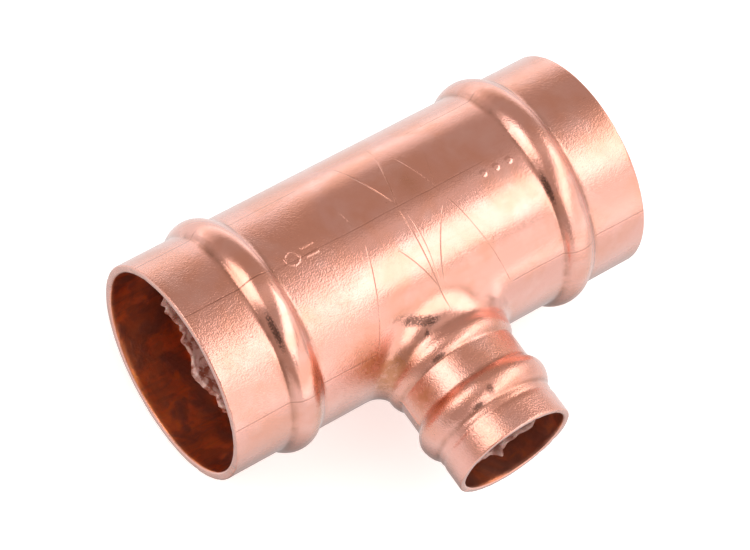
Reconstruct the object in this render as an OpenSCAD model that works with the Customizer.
// Reducing tee for copper tube with a solder ring already inside each socket.
// The run lies along X on its two raised beads, and the branch points along -Y.

/* [Run] */
// Inside diameter of the two run sockets, for 28 mm tube
run_socket_d = 28.1; // [28:0.05:28.4]
// Wall thickness of the run
run_wall = 1.15; // [1:0.05:1.3]
// Length of the run from mouth to mouth
run_length = 64.4; // [60:0.2:72]
// Depth of a run socket, from its mouth to the tube stop
run_socket_depth = 18.6; // [18.4:0.1:19.6]
// Height of the tube stop inside the run
run_stop_h = 0.45; // [0.3:0.05:0.6]

/* [Branch] */
// Inside diameter of the branch socket, for 15 mm tube
branch_socket_d = 15.1; // [15:0.05:15.3]
// Wall thickness of the branch socket
branch_wall = 0.92; // [0.8:0.02:1.1]
// Distance from the run's axis to the branch mouth
branch_reach = 31.3; // [30.8:0.1:34]
// Depth of the branch socket, from its mouth to the tube stop
branch_socket_depth = 14; // [13.4:0.1:14.4]
// Height of the tube stop inside the branch
branch_stop_h = 0.55; // [0.4:0.05:0.7]
// Outside diameter of the neck between collar and bead
neck_d = 17.2; // [17:0.1:17.6]

/* [Collar and blend] */
// Outside diameter at the crest of the collar at the branch root
collar_d = 18.6; // [18.2:0.1:19]
// Width of the collar where it meets the neck
collar_w = 3.5; // [3:0.1:4]
// Distance from the run's axis to the middle of the collar
collar_at = 16.5; // [16.2:0.1:17]
// Radius of the blend at the two ends of the saddle, along the run
blend_along_r = 2.2; // [1.8:0.1:2.6]
// Radius of the blend at the sides of the saddle, across the run
blend_across_r = 4.5; // [4:0.1:4.8]

/* [Beads] */
// Distance from a run mouth to the middle of its bead
run_bead_inset = 10.75; // [9:0.05:12]
// Width of a run bead at its base
run_bead_w = 4.7; // [4.2:0.1:5.2]
// Height of a run bead over the tube
run_bead_h = 1.2; // [1:0.05:1.4]
// Distance from the branch mouth to the middle of its bead
branch_bead_inset = 6.95; // [6.5:0.05:7.3]
// Width of the branch bead at its base
branch_bead_w = 4.1; // [3.8:0.1:4.4]
// Height of the branch bead over the tube
branch_bead_h = 0.92; // [0.8:0.02:1.1]
// Radius of the small cove on each side of a bead
bead_cove_r = 0.6; // [0.4:0.1:0.8]

/* [Solder rings] */
// Gap between a solder ring and the groove it sits in
ring_gap = 0.03; // [0.02:0.01:0.06]

/* [Mouths] */
// Bevel inside each mouth, left by the trimming cut
mouth_bevel = 0.3; // [0.1:0.05:0.4]
// Bevel outside each mouth
lip_bevel = 0.15; // [0.05:0.05:0.25]

/* [Hidden] */

$fn = 96;

copper = [0.80, 0.50, 0.39];
solder = [0.72, 0.70, 0.68];

run_socket_r = run_socket_d / 2;
run_r = run_socket_r + run_wall;
run_waterway_r = run_socket_r - run_stop_h;
run_half = run_length / 2;
run_stop_x = run_half - run_socket_depth;
run_bead_x = run_half - run_bead_inset;
run_bead_crest_r = run_r + run_bead_h;

branch_socket_r = branch_socket_d / 2;
branch_r = branch_socket_r + branch_wall;
branch_waterway_r = branch_socket_r - branch_stop_h;
branch_stop_at = branch_reach - branch_socket_depth;
branch_bead_at = branch_reach - branch_bead_inset;

neck_r = neck_d / 2;
collar_h = (collar_d - neck_d) / 2;
root_r = neck_r + collar_h / 2;
root_waterway_r = root_r - run_wall;
stop_land = 1;
stop_taper = 1.2;

// The run rests on its beads, and the origin is under the middle of the part.
run_axis_z = run_bead_crest_r;
run_axis_y = (branch_reach - run_bead_crest_r) / 2;

// Blend between run and branch, sunk a little into both so that they join.
sink = 0.03;
blend_steps = 72;
arc_steps = 7;
blend_run_r = run_r - sink;
blend_root_r = root_r - sink;
blend_top = collar_at - collar_w / 4;

// Radius of the arc that spans a width w and rises by h.
function arc_r(w, h) = (w * w / 4 + h * h) / (2 * h);

function mix(a, b, t) = a + (b - a) * t;

// Every function below works in the half plane that turns by the angle t about
// the branch: x is the distance from the branch's axis, y the one from the run's.
function blend_r(t) = mix(blend_along_r, blend_across_r, pow(sin(t), 2));
function run_y(x, t) = sqrt(pow(blend_run_r, 2) - pow(x * sin(t), 2));
function run_normal(x, t) =
    let (n = [x * pow(sin(t), 2), run_y(x, t)]) n / norm(n);
// Where the blend leaves the run: each pass brings x closer to it.
function foot_x(t, x, passes = 16) =
    passes == 0 ? x
    : foot_x(t, blend_root_r + blend_r(t) * (1 - run_normal(x, t).x), passes - 1);
function blend_section(t) =
    let (
        r = blend_r(t),
        x = foot_x(t, blend_root_r),
        foot = [x, run_y(x, t)],
        n = run_normal(x, t),
        centre = foot + r * n,
        turn = atan2(n.y, n.x),
        top = max(centre.y, blend_top) + 0.3
    )
    concat(
        [[blend_root_r - 1, top], [blend_root_r, top]],
        [for (i = [0:arc_steps])
            let (a = 180 + turn * i / arc_steps) centre + r * [cos(a), sin(a)]],
        [foot - n]
    );
function turned(p, t) = [p.x * cos(t), p.x * sin(t), p.y];

// The run's axis becomes X and the branch's axis -Y.
module along_run() {
    translate([0, run_axis_y, run_axis_z])
        rotate([0, 90, 0])
            children();
}

module along_branch() {
    translate([0, run_axis_y, run_axis_z])
        rotate([90, 0, 0])
            children();
}

// Half section of a raised bead on a tube of radius r, with a cove on each side.
module bead_section(r, w, h, cove) {
    big = arc_r(w, h);
    axis_r = r + h - big;
    base = r - sink / 3;
    reach = sqrt(pow(big + cove, 2) - pow(base + cove - axis_r, 2));
    translate([axis_r, 0])
        circle(big);
    for (side = [-1, 1])
        difference() {
            polygon([[axis_r, 0], [base, side * reach], [base + cove, side * reach]]);
            translate([base + cove, side * reach])
                circle(cove);
        }
}

// Half section of the groove behind a bead, or of a ring that is smaller by a gap.
module groove_section(r, w, h, wall, gap = 0) {
    big = arc_r(w, h);
    translate([r + h - big, 0])
        circle(big - wall - gap);
}

module run_outside() {
    rotate_extrude() {
        polygon([
            [0, -run_half], [run_r - lip_bevel, -run_half], [run_r, lip_bevel - run_half],
            [run_r, run_half - lip_bevel], [run_r - lip_bevel, run_half], [0, run_half]
        ]);
        for (side = [-1, 1])
            translate([0, side * run_bead_x])
                bead_section(run_r, run_bead_w, run_bead_h, bead_cove_r);
    }
}

module run_inside() {
    over = 1;
    rotate_extrude() {
        polygon([
            [0, -run_half - over],
            [run_socket_r + mouth_bevel + over, -run_half - over],
            [run_socket_r, mouth_bevel - run_half],
            [run_socket_r, -run_stop_x],
            [run_waterway_r, -run_stop_x],
            [run_waterway_r, run_stop_x],
            [run_socket_r, run_stop_x],
            [run_socket_r, run_half - mouth_bevel],
            [run_socket_r + mouth_bevel + over, run_half + over],
            [0, run_half + over]
        ]);
        for (side = [-1, 1])
            translate([0, side * run_bead_x])
                groove_section(run_r, run_bead_w, run_bead_h, run_wall);
    }
}

module branch_outside() {
    rotate_extrude() {
        polygon([
            [0, 0], [neck_r, 0], [neck_r, branch_bead_at], [branch_r, branch_bead_at],
            [branch_r, branch_reach - lip_bevel], [branch_r - lip_bevel, branch_reach],
            [0, branch_reach]
        ]);
        translate([0, branch_bead_at])
            bead_section(branch_r, branch_bead_w, branch_bead_h, bead_cove_r);
        translate([neck_r + collar_h - arc_r(collar_w, collar_h), collar_at])
            circle(arc_r(collar_w, collar_h));
    }
}

module branch_inside() {
    over = 1;
    land_at = branch_stop_at - stop_land;
    rotate_extrude() {
        polygon([
            [0, 0],
            [root_waterway_r, 0],
            [root_waterway_r, land_at - stop_taper],
            [branch_waterway_r, land_at],
            [branch_waterway_r, branch_stop_at],
            [branch_socket_r, branch_stop_at],
            [branch_socket_r, branch_reach - mouth_bevel],
            [branch_socket_r + mouth_bevel + over, branch_reach + over],
            [0, branch_reach + over]
        ]);
        translate([0, branch_bead_at])
            groove_section(branch_r, branch_bead_w, branch_bead_h, branch_wall);
    }
}

// Closed band with the blend's surface outside and the rest buried in the walls.
module saddle_blend() {
    sections = [for (i = [0:blend_steps - 1])
        let (t = i * 360 / blend_steps)
            [for (p = blend_section(t)) turned(p, t)]];
    count = len(sections[0]);
    polyhedron(
        points = [for (s = sections) for (p = s) p],
        faces = [for (i = [0:blend_steps - 1]) for (j = [0:count - 1])
            let (
                here = i * count,
                next = ((i + 1) % blend_steps) * count,
                k = (j + 1) % count
            )
            each [
                [here + j, here + k, next + k],
                [here + j, next + k, next + j]
            ]]
    );
}

module tee_body() {
    color(copper)
        difference() {
            union() {
                along_run()
                    run_outside();
                along_branch()
                    branch_outside();
                along_branch()
                    saddle_blend();
            }
            along_run()
                run_inside();
            along_branch()
                branch_inside();
        }
}

// One solder ring, lying in its groove and open for the tube.
module solder_ring(r, w, h, wall, bore_r) {
    color(solder)
        rotate_extrude()
            difference() {
                groove_section(r, w, h, wall, ring_gap);
                translate([0, -w])
                    square([bore_r, 2 * w]);
            }
}

module run_solder_ring(side) {
    along_run()
        translate([0, 0, side * run_bead_x])
            solder_ring(run_r, run_bead_w, run_bead_h, run_wall, run_socket_r);
}

module solder_ring_left() {
    run_solder_ring(-1);
}

module solder_ring_right() {
    run_solder_ring(1);
}

module solder_ring_branch() {
    along_branch()
        translate([0, 0, branch_bead_at])
            solder_ring(branch_r, branch_bead_w, branch_bead_h, branch_wall,
                branch_socket_r);
}

tee_body();
solder_ring_left();
solder_ring_right();
solder_ring_branch();
